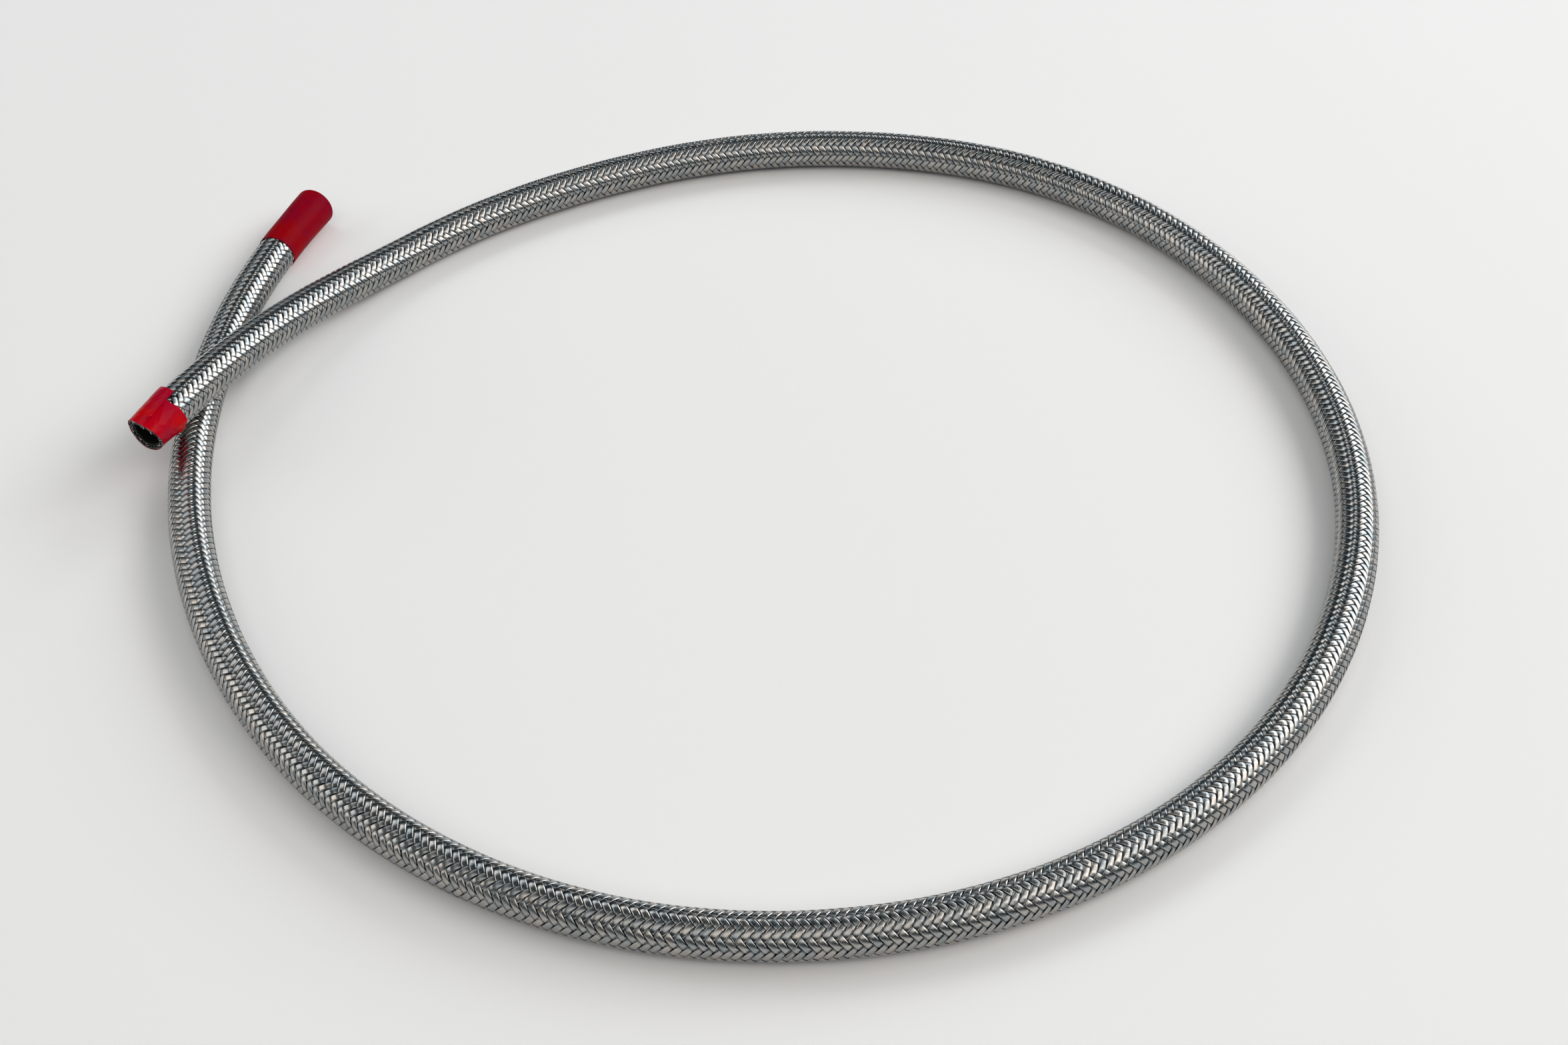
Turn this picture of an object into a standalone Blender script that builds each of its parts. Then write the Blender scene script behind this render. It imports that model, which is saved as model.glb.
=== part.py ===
"""A cut length of steel-braided fuel hose, lying in one loop that crosses itself near an end.

A rubber tube carries the fuel, a sleeve of woven stainless wire covers it, and tape bound round
each cut end keeps the wire from fraying. Metres, +Z up, the origin under the middle of the loop.
"""

import bpy
import numpy as np

# The hose: its outer diameter is what the bore and the walls add up to, 19.5 mm.
HOSE_BORE = 0.0143
RUBBER_WALL = 0.00165
BRAID_WALL = 0.00065
CLEARANCE = 0.0003
HOSE_OUTER = HOSE_BORE + 2.0 * (RUBBER_WALL + CLEARANCE + BRAID_WALL)

# The near end's tape is a short loose wrap, and the far end's a long one pulled tight.
NEAR_TAPE_LENGTH = 0.026
NEAR_TAPE_WALL = 0.0010
FAR_TAPE_LENGTH = 0.046
FAR_TAPE_WALL = 0.0004

# Heights. The near end climbs over the strand below it in a long low hump, and its tape just
# clears that strand. The far end lies on its own tape.
HUMP_RUN = 0.205
FAR_REST_RUN = 0.12
TAPE_CLEARS_AT = HOSE_OUTER + NEAR_TAPE_WALL + 2.0 * CLEARANCE

# The tube's facets: twelve sides, and a ring about every two diameters.
BEVEL_RESOLUTION = 4
RING_STEP = 2.0 * HOSE_OUTER
CURVE_STEPS = 40

# Where the middle of the hose lies on the floor, from the near end round to the far end.
ROUTE = [
    (-0.2510, -0.1115),
    (-0.2495, -0.0675),
    (-0.2470, -0.0245),
    (-0.2405, 0.0175),
    (-0.2275, 0.0615),
    (-0.2025, 0.1140),
    (-0.1555, 0.1765),
    (-0.0955, 0.2270),
    (-0.0245, 0.2590),
    (0.0525, 0.2690),
    (0.1270, 0.2520),
    (0.1925, 0.2110),
    (0.2435, 0.1520),
    (0.2760, 0.0805),
    (0.2870, 0.0030),
    (0.2765, -0.0745),
    (0.2450, -0.1450),
    (0.1950, -0.2035),
    (0.1295, -0.2455),
    (0.0550, -0.2670),
    (-0.0225, -0.2650),
    (-0.0965, -0.2405),
    (-0.1615, -0.1965),
    (-0.2140, -0.1385),
    (-0.2480, -0.0800),
    (-0.2685, -0.0260),
    (-0.2800, 0.0250),
    (-0.2850, 0.0720),
    (-0.2860, 0.1045),
]


def natural_spline(knots, values, at):
    """The natural cubic spline through values at the knots, read at each place in at."""
    gaps = np.diff(knots)
    slopes = np.diff(values, axis=0) / gaps[:, None]
    matrix = np.eye(len(knots))
    right = np.zeros_like(values)
    for row in range(1, len(knots) - 1):
        matrix[row, row - 1:row + 2] = (gaps[row - 1], 2.0 * (gaps[row - 1] + gaps[row]), gaps[row])
        right[row] = 6.0 * (slopes[row] - slopes[row - 1])
    bends = np.linalg.solve(matrix, right)
    span = np.clip(np.searchsorted(knots, at, side="right") - 1, 0, len(gaps) - 1)
    gap = gaps[span][:, None]
    after = (at - knots[span])[:, None]
    before = gap - after
    curved = (bends[span] * before ** 3 + bends[span + 1] * after ** 3) / (6.0 * gap)
    start = (values[span] / gap - bends[span] * gap / 6.0) * before
    end = (values[span + 1] / gap - bends[span + 1] * gap / 6.0) * after
    return curved + start + end


def lengths_along(points):
    """The distance from the first point to each point, along the line through them."""
    steps = np.linalg.norm(np.diff(points, axis=0), axis=1)
    return np.concatenate(([0.0], np.cumsum(steps)))


def ease(share):
    """Goes from 0 to 1 and is level at both ends."""
    share = np.clip(share, 0.0, 1.0)
    return share * share * (3.0 - 2.0 * share)


def height(along, total):
    """The height of the hose's middle, at each distance along from the near end."""
    end_rise = TAPE_CLEARS_AT / (1.0 - ease(NEAR_TAPE_LENGTH / HUMP_RUN))
    hump = end_rise * (1.0 - ease(along / HUMP_RUN))
    tape_rise = FAR_TAPE_WALL + CLEARANCE
    to_tape = total - FAR_TAPE_LENGTH - along
    return HOSE_OUTER / 2.0 + hump + tape_rise * (1.0 - ease(to_tape / FAR_REST_RUN))


def hose_line():
    """Points along the middle of the hose, with one at each tape's inner edge."""
    route = np.array(ROUTE)
    knots = lengths_along(route)
    fine = natural_spline(knots, route, np.linspace(0.0, knots[-1], CURVE_STEPS * len(route)))
    along = lengths_along(fine)
    total = along[-1]
    first = NEAR_TAPE_LENGTH
    last = total - FAR_TAPE_LENGTH
    rings = round((last - first) / RING_STEP)
    stations = np.concatenate(([0.0], np.linspace(first, last, rings + 1), [total]))
    plan = [np.interp(stations, along, fine[:, axis]) for axis in (0, 1)]
    return np.column_stack([*plan, height(stations, total)])


def make_material(name, color, metallic, roughness):
    material = bpy.data.materials.new(name)
    material.use_nodes = True
    shader = material.node_tree.nodes["Principled BSDF"]
    shader.inputs["Base Color"].default_value = (*color, 1.0)
    shader.inputs["Metallic"].default_value = metallic
    shader.inputs["Roughness"].default_value = roughness
    material.diffuse_color = (*color, 1.0)
    return material


def open_tube(name, line, radius):
    """An open tube along the line, as a mesh: a curve object's bevel, with no caps."""
    curve = bpy.data.curves.new(name, "CURVE")
    curve.dimensions = "3D"
    curve.twist_mode = "Z_UP"
    curve.bevel_depth = radius
    curve.bevel_resolution = BEVEL_RESOLUTION
    spline = curve.splines.new("POLY")
    spline.points.add(len(line) - 1)
    for point, place in zip(spline.points, line):
        point.co = (*place, 1.0)
    guide = bpy.data.objects.new(name + "_line", curve)
    bpy.context.scene.collection.objects.link(guide)
    bpy.context.view_layer.update()
    evaluated = guide.evaluated_get(bpy.context.evaluated_depsgraph_get())
    mesh = bpy.data.meshes.new_from_object(evaluated)
    mesh.name = name
    bpy.data.objects.remove(guide)
    bpy.data.curves.remove(curve)
    return mesh


def make_sleeve(name, line, outer_radius, wall, material, collection):
    """A sleeve round the line, open at both ends: an open tube thickened inwards."""
    mesh = open_tube(name, line, outer_radius)
    mesh.materials.clear()
    mesh.materials.append(material)
    mesh.shade_smooth()
    sleeve = bpy.data.objects.new(name, mesh)
    collection.objects.link(sleeve)
    solidify = sleeve.modifiers.new("wall", "SOLIDIFY")
    solidify.thickness = wall
    solidify.offset = -1.0
    return sleeve


def build():
    for leftover in list(bpy.data.objects):
        bpy.data.objects.remove(leftover)
    collection = bpy.data.collections.new("fuel_line")
    bpy.context.scene.collection.children.link(collection)

    rubber = make_material("black_rubber", (0.02, 0.02, 0.02), 0.0, 0.6)
    steel = make_material("stainless_wire", (0.52, 0.48, 0.43), 1.0, 0.32)
    tape = make_material("red_tape", (0.38, 0.004, 0.012), 0.0, 0.25)

    line = hose_line()
    braid_radius = HOSE_OUTER / 2.0
    rubber_radius = HOSE_BORE / 2.0 + RUBBER_WALL
    tape_bore_radius = braid_radius + CLEARANCE

    make_sleeve("rubber_liner", line, rubber_radius, RUBBER_WALL, rubber, collection)
    make_sleeve("steel_braid", line, braid_radius, BRAID_WALL, steel, collection)
    near_radius = tape_bore_radius + NEAR_TAPE_WALL
    far_radius = tape_bore_radius + FAR_TAPE_WALL
    make_sleeve("near_end_tape", line[:2], near_radius, NEAR_TAPE_WALL, tape, collection)
    make_sleeve("far_end_tape", line[-2:], far_radius, FAR_TAPE_WALL, tape, collection)


build()
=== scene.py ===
# %% [markdown]
# A cut length of steel-braided fuel hose lies in one loop and crosses itself near an end. The
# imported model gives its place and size: a rubber tube, a plain sleeve for the braid, and a sleeve
# of tape on each end. This script weaves the braid, winds the tape and gives each its finish.

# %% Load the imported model
import math

import bpy
import numpy as np
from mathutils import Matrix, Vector


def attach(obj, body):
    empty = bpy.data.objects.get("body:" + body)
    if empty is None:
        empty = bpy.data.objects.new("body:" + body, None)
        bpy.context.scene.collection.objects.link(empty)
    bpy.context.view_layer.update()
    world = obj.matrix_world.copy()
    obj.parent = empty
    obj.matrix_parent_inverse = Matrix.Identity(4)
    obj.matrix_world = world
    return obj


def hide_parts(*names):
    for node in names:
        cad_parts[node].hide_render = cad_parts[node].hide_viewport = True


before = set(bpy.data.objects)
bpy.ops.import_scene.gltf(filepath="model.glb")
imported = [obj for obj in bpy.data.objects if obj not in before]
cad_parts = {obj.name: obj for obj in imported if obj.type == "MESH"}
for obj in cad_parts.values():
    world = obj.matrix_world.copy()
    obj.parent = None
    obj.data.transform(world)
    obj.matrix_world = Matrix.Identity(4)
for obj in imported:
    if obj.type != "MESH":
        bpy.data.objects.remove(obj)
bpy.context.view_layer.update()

# %% [markdown]
# The hose is rubber inside and woven wire outside, with red tape on both ends. Its sizes could be
# measured on the solids. They are written here instead, in metres and as the solids have them,
# because later steps need them by name. The weave is counted from the photograph: twelve bundles
# of wire wind each way, and a bundle goes once round the hose in 45.5 mm.

# %% Sizes
HOSE_BORE = 0.0143
RUBBER_WALL = 0.00165
BRAID_WALL = 0.00065
CLEARANCE = 0.0003
HOSE_OUTER = HOSE_BORE + 2.0 * (RUBBER_WALL + CLEARANCE + BRAID_WALL)
NEAR_TAPE_LENGTH = 0.026
NEAR_TAPE_WALL = 0.0010
FAR_TAPE_LENGTH = 0.046
FAR_TAPE_WALL = 0.0004
BUNDLES_EACH_WAY = 12
WIRES_IN_BUNDLE = 9
WIRE = 0.0003
BRAID_LEAD = 0.0455
MILLIMETRE = 0.001
print(f"The hose is {HOSE_OUTER / MILLIMETRE:.1f} mm thick over the braid")

# %% [markdown]
# The hose lies in an uneven loop that no circle or formula fits. Its middle goes through listed
# points, from the near end round to the far end. A curve object could hold them, but a list can be
# compared with the one the solids were made from, which is the same.

# %% Points on the floor
ROUTE = [
    (-0.2510, -0.1115),
    (-0.2495, -0.0675),
    (-0.2470, -0.0245),
    (-0.2405, 0.0175),
    (-0.2275, 0.0615),
    (-0.2025, 0.1140),
    (-0.1555, 0.1765),
    (-0.0955, 0.2270),
    (-0.0245, 0.2590),
    (0.0525, 0.2690),
    (0.1270, 0.2520),
    (0.1925, 0.2110),
    (0.2435, 0.1520),
    (0.2760, 0.0805),
    (0.2870, 0.0030),
    (0.2765, -0.0745),
    (0.2450, -0.1450),
    (0.1950, -0.2035),
    (0.1295, -0.2455),
    (0.0550, -0.2670),
    (-0.0225, -0.2650),
    (-0.0965, -0.2405),
    (-0.1615, -0.1965),
    (-0.2140, -0.1385),
    (-0.2480, -0.0800),
    (-0.2685, -0.0260),
    (-0.2800, 0.0250),
    (-0.2850, 0.0720),
    (-0.2860, 0.1045),
]
print("The route has", len(ROUTE), "points")

# %% [markdown]
# A hose has no corners. A natural cubic spline runs through the points and bends as a springy
# strip does. The curve of a curve object would look as smooth, but the solids were made with this
# spline, and the wire has to lie where they do.

# %% A smooth line through the points
LINE_STEPS = 2400


def natural_spline(knots, values, at):
    """The natural cubic spline through values at the knots, read at each place in at."""
    gaps = np.diff(knots)
    slopes = np.diff(values, axis=0) / gaps[:, None]
    matrix = np.eye(len(knots))
    right = np.zeros_like(values)
    for row in range(1, len(knots) - 1):
        matrix[row, row - 1:row + 2] = (gaps[row - 1], 2.0 * (gaps[row - 1] + gaps[row]), gaps[row])
        right[row] = 6.0 * (slopes[row] - slopes[row - 1])
    bends = np.linalg.solve(matrix, right)
    span = np.clip(np.searchsorted(knots, at, side="right") - 1, 0, len(gaps) - 1)
    gap = gaps[span][:, None]
    after = (at - knots[span])[:, None]
    before = gap - after
    curved = (bends[span] * before ** 3 + bends[span + 1] * after ** 3) / (6.0 * gap)
    start = (values[span] / gap - bends[span] * gap / 6.0) * before
    end = (values[span + 1] / gap - bends[span + 1] * gap / 6.0) * after
    return curved + start + end


def lengths_along(points):
    """The distance from the first point to each point, along the line through them."""
    steps = np.linalg.norm(np.diff(points, axis=0), axis=1)
    return np.concatenate(([0.0], np.cumsum(steps)))


route = np.array(ROUTE)
route_knots = lengths_along(route)
plan = natural_spline(route_knots, route, np.linspace(0.0, route_knots[-1], LINE_STEPS))
plan_along = lengths_along(plan)
print(f"On the floor the line is {plan_along[-1]:.3f} m long")

# %% [markdown]
# The near end climbs over the strand below it in a long low hump, and its tape just clears that
# strand. The far end is held up by its own tape. The heights could be typed in beside the points,
# but one easing curve for each rise leaves no kink where the hose meets the floor.

# %% Height above the floor
HUMP_RUN = 0.205
FAR_REST_RUN = 0.12
TAPE_CLEARS_AT = HOSE_OUTER + NEAR_TAPE_WALL + 2.0 * CLEARANCE


def ease(share):
    """Goes from 0 to 1 and is level at both ends."""
    share = np.clip(share, 0.0, 1.0)
    return share * share * (3.0 - 2.0 * share)


def height(along, total):
    """The height of the hose's middle, at each distance along from the near end."""
    end_rise = TAPE_CLEARS_AT / (1.0 - ease(NEAR_TAPE_LENGTH / HUMP_RUN))
    hump = end_rise * (1.0 - ease(along / HUMP_RUN))
    tape_rise = FAR_TAPE_WALL + CLEARANCE
    to_tape = total - FAR_TAPE_LENGTH - along
    return HOSE_OUTER / 2.0 + hump + tape_rise * (1.0 - ease(to_tape / FAR_REST_RUN))


middle = np.column_stack([plan, height(plan_along, plan_along[-1])])
along_line = lengths_along(middle)
HOSE_LENGTH = along_line[-1]
print(f"The hose is {HOSE_LENGTH:.3f} m long")

# %% [markdown]
# At the far end the tape's edge curls in over the cut. The end is dressed 3 mm short of the
# solids, which is nearer to where it shows in the photograph. The wire stops just inside the
# curl, so that the thin tape stays clear of it.

# %% Where the far end stops
FAR_END_BACK = 0.003
CURL_RADIUS = 0.0017
CURL_CLEARANCE = 0.0002
FAR_CUT = HOSE_LENGTH - FAR_END_BACK
BRAID_END = FAR_CUT - CURL_RADIUS - CURL_CLEARANCE
print(f"The wire stops {(HOSE_LENGTH - BRAID_END) / MILLIMETRE:.1f} mm short of the solids")

# %% [markdown]
# Wire, rubber and tape all follow the hose, so a place on it is given by a distance along, a turn
# and a radius. The turn starts at the hose's top and goes towards the outside of the loop. Three
# directions at each point of the line make a place of these numbers. They are found from the
# line and from straight up, so they never twist, and neither does the weave.

# %% Directions along the hose
heading = np.gradient(middle, axis=0)
heading /= np.linalg.norm(heading, axis=1)[:, None]
outside = np.cross((0.0, 0.0, 1.0), heading)
outside /= np.linalg.norm(outside, axis=1)[:, None]
top = np.cross(heading, outside)


def along_hose(values, along):
    """One of the line's values at each distance along the hose."""
    return np.stack([np.interp(along, along_line, values[:, axis]) for axis in range(3)], axis=-1)


print("There are directions at", len(middle), "points along the hose")

# %% [markdown]
# The near end was cut by eye and squeezed, so its mouth is slanted and no longer round. A lattice
# could bend it into shape. Two small tables do it more exactly: at a few turns round the hose
# they say how many millimetres the cut lies back, and how wide the mouth is compared with a round
# one. Both fade out over the length of the tape.

# %% The near end's form
CUT_BACK = [(-165.0, 3.0), (-135.0, 3.0), (-100.0, 2.1), (-67.0, -0.4), (-40.0, -1.5),
            (-15.0, -1.7), (12.0, -1.1), (55.0, 1.4), (85.0, 2.7), (117.0, 3.2), (165.0, 2.6)]
MOUTH_WIDTH = [(-165.0, 0.99), (-135.0, 0.90), (-100.0, 0.86), (-67.0, 0.96), (-40.0, 0.97),
               (-15.0, 0.94), (12.0, 0.95), (55.0, 1.02), (85.0, 0.99), (117.0, 1.0), (165.0, 1.0)]
NEAR_FADE = 0.024


def round_hose(table, turn):
    """A value that a table of (turn in degrees, value) pairs gives at each turn."""
    turns, values = np.transpose(table)
    return np.interp(np.degrees(turn), turns, values, period=360.0)


def near_form(along, turn, radius):
    """The distance along and the radius of a point once the near end is cut and squeezed."""
    nearness = 1.0 - ease(along / NEAR_FADE)
    back = MILLIMETRE * round_hose(CUT_BACK, turn) * nearness
    width = 1.0 + (round_hose(MOUTH_WIDTH, turn) - 1.0) * nearness
    return along + back, radius * width


slant = max(back for turn, back in CUT_BACK) - min(back for turn, back in CUT_BACK)
print(f"The near cut slants by {slant:.1f} mm")

# %% [markdown]
# One function makes a place in the room of a distance, a turn and a radius. Everything on the
# hose goes through it, so wire, rubber and tape bend, slant and squeeze together.

# %% A place on the hose
def on_hose(along, turn, radius):
    """Points at a distance along, a turn from the top and a radius from the middle."""
    along, turn, radius = np.broadcast_arrays(along, turn, radius)
    along, radius = near_form(along, turn, radius)
    inside = np.clip(along, 0.0, HOSE_LENGTH)
    beyond = (along - inside)[..., None] * along_hose(heading, inside)
    up = (radius * np.cos(turn))[..., None] * along_hose(top, inside)
    out = (radius * np.sin(turn))[..., None] * along_hose(outside, inside)
    return along_hose(middle, inside) + beyond + up + out


halfway_top = on_hose(HOSE_LENGTH / 2.0, 0.0, HOSE_OUTER / 2.0)
print(f"Halfway along, the top of the hose is {halfway_top[2] / MILLIMETRE:.1f} mm up")

# %% [markdown]
# The camera stands where the photograph's did: a 50 mm lens looks down on the loop at 44 degrees.
# The hose's frame is turned 21 degrees, so that both its cut ends open along Y, and the camera
# goes round with it. Its place was found by trying, until the hose's width and outline matched.

# %% The camera
CAMERA_TURN = math.radians(21.0)
CAMERA_DOWN = math.radians(44.0)
CAMERA_PLACE = (0.2939, -0.7066, 0.7020)
CAMERA_LENS = 50.0
CAMERA_SENSOR = 36.0

camera = bpy.data.objects.new("camera", bpy.data.cameras.new("camera"))
bpy.context.scene.collection.objects.link(camera)
camera.data.lens = CAMERA_LENS
camera.data.sensor_width = CAMERA_SENSOR
camera.location = CAMERA_PLACE
camera.rotation_euler = (math.pi / 2.0 - CAMERA_DOWN, 0.0, CAMERA_TURN)
bpy.context.scene.camera = camera
print("The camera's lens is", camera.data.lens, "mm")

# %% [markdown]
# The hose lies on a plain pale surface. It is one large sheet, much wider than the picture, so
# that the wire mirrors a floor all the way to the room's walls. It is matt, and its shader's
# specular is off, so that no lamp shows in it.

# %% The floor
FLOOR_SIZE = 11.0
FLOOR_COLOR = (0.90, 0.90, 0.90)
FLOOR_ROUGHNESS = 0.9


def new_material(name, color, metallic, roughness):
    """A material with a Principled shader set to plain values, and that shader."""
    material = bpy.data.materials.new(name)
    material.use_nodes = True
    shader = material.node_tree.nodes["Principled BSDF"]
    shader.inputs["Base Color"].default_value = (*color, 1.0)
    shader.inputs["Metallic"].default_value = metallic
    shader.inputs["Roughness"].default_value = roughness
    return material, shader


bpy.ops.object.select_all(action="DESELECT")
bpy.ops.mesh.primitive_plane_add(size=FLOOR_SIZE, location=(0.0, 0.0, 0.0))
floor = bpy.context.active_object
floor.name = "floor"
floor_material, floor_shader = new_material("pale_floor", FLOOR_COLOR, 0.0, FLOOR_ROUGHNESS)
floor_shader.inputs["Specular IOR Level"].default_value = 0.0
floor.data.materials.append(floor_material)
print("The floor is", FLOOR_SIZE, "m wide")

# %% [markdown]
# Bright metal shows its shape only where it has something dark to mirror. So the room round the
# hose is dark, and just over the floor its walls turn paler, as a studio's do. A room of real
# walls would do the same, but a world shader that changes with height is simpler.

# %% The room
WALL_COLOR = (0.028, 0.045, 0.055)
HORIZON_COLOR = (0.30, 0.34, 0.36)
HORIZON_TOP = 0.10


def add_smooth_step(tree, value, start, end):
    """A Map Range node that goes smoothly from 0 to 1 between start and end; gives its output."""
    node = tree.nodes.new("ShaderNodeMapRange")
    node.interpolation_type = "SMOOTHSTEP"
    node.inputs["From Min"].default_value = start
    node.inputs["From Max"].default_value = end
    tree.links.new(value, node.inputs["Value"])
    return node.outputs["Result"]


def add_mix(tree, share, first, second):
    """A Mix node from the first colour to the second; each is a colour or another node's socket."""
    node = tree.nodes.new("ShaderNodeMix")
    node.data_type = "RGBA"
    tree.links.new(share, node.inputs["Factor"])
    for socket, value in (("A", first), ("B", second)):
        if isinstance(value, tuple):
            node.inputs[socket].default_value = (*value, 1.0)
        else:
            tree.links.new(value, node.inputs[socket])
    return node.outputs["Result"]


world = bpy.data.worlds.new("studio")
world.use_nodes = True
studio = world.node_tree
studio_place = studio.nodes.new("ShaderNodeTexCoord")
studio_up = studio.nodes.new("ShaderNodeSeparateXYZ")
studio.links.new(studio_place.outputs["Generated"], studio_up.inputs[0])
wall_share = add_smooth_step(studio, studio_up.outputs["Z"], 0.0, HORIZON_TOP)
studio_color = add_mix(studio, wall_share, HORIZON_COLOR, WALL_COLOR)
studio.links.new(studio_color, studio.nodes["Background"].inputs["Color"])
bpy.context.scene.world = world
print("The room has", len(studio.nodes), "nodes")

# %% [markdown]
# The metal's light bands are large soft lamps that it mirrors. Five of them stand round the hose.
# Those behind it and beside it draw the bands, and the one in front only fills the shadows. The
# cool ones and the warm ones together leave the floor almost without a tint.

# %% The lamps
SOFTBOX_DISTANCE = 5.0
WARM = (1.0, 0.95, 0.90)
COOL = (0.95, 0.98, 1.0)
# Each lamp's name, degrees round from the back, degrees up, width and height, glow and tint.
SOFTBOXES = [
    ("back_right_softbox", 48.0, 27.0, (4.8, 2.6), 4.1, COOL),
    ("right_softbox", 98.0, 42.0, (4.0, 2.8), 3.1, WARM),
    ("left_softbox", -88.0, 24.0, (4.0, 2.7), 1.9, WARM),
    ("back_left_softbox", -38.0, 48.0, (3.5, 1.6), 2.1, COOL),
    ("front_softbox", 180.0, 54.0, (5.5, 3.4), 1.25, WARM),
]
back_at = Vector((-math.sin(CAMERA_TURN), math.cos(CAMERA_TURN), 0.0))
right_at = Vector((math.cos(CAMERA_TURN), math.sin(CAMERA_TURN), 0.0))


def studio_way(around, up):
    """The direction so many degrees round from the back wall to the right, and so many up."""
    level = math.cos(math.radians(up))
    turn = math.radians(around)
    flat = level * (math.cos(turn) * back_at + math.sin(turn) * right_at)
    return flat + Vector((0.0, 0.0, math.sin(math.radians(up))))


def add_softbox(name, around, up, size, glow, tint):
    """A square soft lamp that looks at the middle of the loop; glow is its face's radiance."""
    lamp = bpy.data.lights.new(name, "AREA")
    lamp.shape = "RECTANGLE"
    lamp.size = size[0]
    lamp.size_y = size[1]
    lamp.energy = glow * math.pi * size[0] * size[1]
    lamp.color = tint
    box = bpy.data.objects.new(name, lamp)
    bpy.context.scene.collection.objects.link(box)
    box.location = SOFTBOX_DISTANCE * studio_way(around, up)
    box.rotation_euler = (-box.location).to_track_quat("-Z", "Y").to_euler()


for softbox in SOFTBOXES:
    add_softbox(*softbox)
bpy.context.scene.view_settings.view_transform = "Standard"
print(len(SOFTBOXES), "soft lamps stand round the hose")

# %% [markdown]
# A bundle of nine fine wires lies flat and side by side, like a ribbon. The wires are too fine to
# model along the whole hose, so a group of nodes draws their round backs as a height across the
# ribbon. It reads the ribbon's own map, where X counts the bundles crossed and Y counts ribbons.

# %% Round wires across a ribbon
ROUND_ROOM = 0.26


def new_group(name, inputs, outputs):
    """An empty shader node group with its sockets, and its input and output nodes."""
    group = bpy.data.node_groups.new(name, "ShaderNodeTree")
    for socket, kind, value in inputs:
        made = group.interface.new_socket(socket, in_out="INPUT", socket_type=kind)
        if value is not None:
            made.default_value = value
    for socket, kind in outputs:
        group.interface.new_socket(socket, in_out="OUTPUT", socket_type=kind)
    return group, group.nodes.new("NodeGroupInput"), group.nodes.new("NodeGroupOutput")


def add_math(tree, operation, *values):
    """A Math node whose inputs are numbers or other nodes' sockets; gives its output."""
    node = tree.nodes.new("ShaderNodeMath")
    node.operation = operation
    for socket, value in zip(node.inputs, values):
        if isinstance(value, (int, float)):
            socket.default_value = value
        else:
            tree.links.new(value, socket)
    return node.outputs[0]


strands, strands_in, strands_out = new_group(
    "wire_strands",
    [("Ribbon", "NodeSocketVector", None), ("Wires", "NodeSocketFloat", float(WIRES_IN_BUNDLE))],
    [
        ("Height", "NodeSocketFloat"),
        ("Wire Tone", "NodeSocketFloat"),
        ("Float Tone", "NodeSocketFloat"),
        ("Crevice Shade And Grime", "NodeSocketFloat"),
    ],
)
ribbon_place = strands.nodes.new("ShaderNodeSeparateXYZ")
strands.links.new(strands_in.outputs["Ribbon"], ribbon_place.inputs[0])
wire_count = add_math(strands, "MULTIPLY", ribbon_place.outputs["Y"], strands_in.outputs["Wires"])
wire_side = add_math(strands, "SUBTRACT", add_math(strands, "FRACT", wire_count), 0.5)
side_squared = add_math(strands, "MULTIPLY", wire_side, wire_side)
wire_room = add_math(strands, "SUBTRACT", ROUND_ROOM, side_squared)
wire_height = add_math(strands, "MULTIPLY", add_math(strands, "SQRT", wire_room), 2.0)
strands.links.new(wire_height, strands_out.inputs["Height"])
print("A ribbon shows", WIRES_IN_BUNDLE, "wires")

# %% [markdown]
# A bundle comes up, floats over two bundles and goes under two, so a float begins every four
# crossings. On the real hose no two wires and no two floats mirror quite the same. One random
# number for each wire of a float and one for the whole float stand for that. A noise would smear
# across the wires, so white noise is read at whole numbers only.

# %% Tones of wires and floats
WEAVE_PERIOD = 4.0

float_count = add_math(strands, "MULTIPLY", ribbon_place.outputs["X"], 1.0 / WEAVE_PERIOD)
float_number = add_math(strands, "FLOOR", float_count)
for output, number in (("Wire Tone", wire_count), ("Float Tone", ribbon_place.outputs["Y"])):
    cell = strands.nodes.new("ShaderNodeCombineXYZ")
    strands.links.new(float_number, cell.inputs["X"])
    strands.links.new(add_math(strands, "FLOOR", number), cell.inputs["Y"])
    tone = strands.nodes.new("ShaderNodeTexWhiteNoise")
    tone.noise_dimensions = "2D"
    strands.links.new(cell.outputs[0], tone.inputs["Vector"])
    strands.links.new(tone.outputs["Value"], strands_out.inputs[output])
print("A float begins every", WEAVE_PERIOD, "crossings")

# %% [markdown]
# Where a float dives under its neighbour, and along its edges, little light comes and grime
# collects. Geometry alone leaves these places too light, because the bundles are thin sheets. So
# the group also gives a mask of painted shade and grime, which grows towards a float's ends
# and edges.

# %% Painted shade and grime between the floats
DIVE = (0.68, 1.12)
EDGE = (0.40, 0.50)

# Painted shade and grime: this mask grows towards a float's ends and edges.
float_share = add_math(strands, "MULTIPLY", add_math(strands, "FRACT", float_count), WEAVE_PERIOD)
from_top = add_math(strands, "ABSOLUTE", add_math(strands, "SUBTRACT", float_share, 1.0))
from_line = add_math(strands, "SUBTRACT", add_math(strands, "FRACT", ribbon_place.outputs["Y"]), 0.5)
float_ends = add_smooth_step(strands, from_top, *DIVE)
float_edges = add_smooth_step(strands, add_math(strands, "ABSOLUTE", from_line), *EDGE)
strands.links.new(add_math(strands, "MAXIMUM", float_ends, float_edges), strands_out.inputs["Crevice Shade And Grime"])
print("The strand group has", len(strands.nodes), "nodes")

# %% [markdown]
# The materials below share a few helpers. Each adds one node with real values and gives back the
# output to link on, so that a material reads as a short list of what it does.

# %% Helpers for the materials
def add_ramp(tree, value, stops):
    """A Color Ramp with the given (place, colour) stops; gives its colour output."""
    ramp = tree.nodes.new("ShaderNodeValToRGB")
    tree.links.new(value, ramp.inputs["Fac"])
    for element, (place, color) in zip(ramp.color_ramp.elements, stops):
        element.position = place
        element.color = (*color, 1.0)
    return ramp.outputs["Color"]


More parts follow.
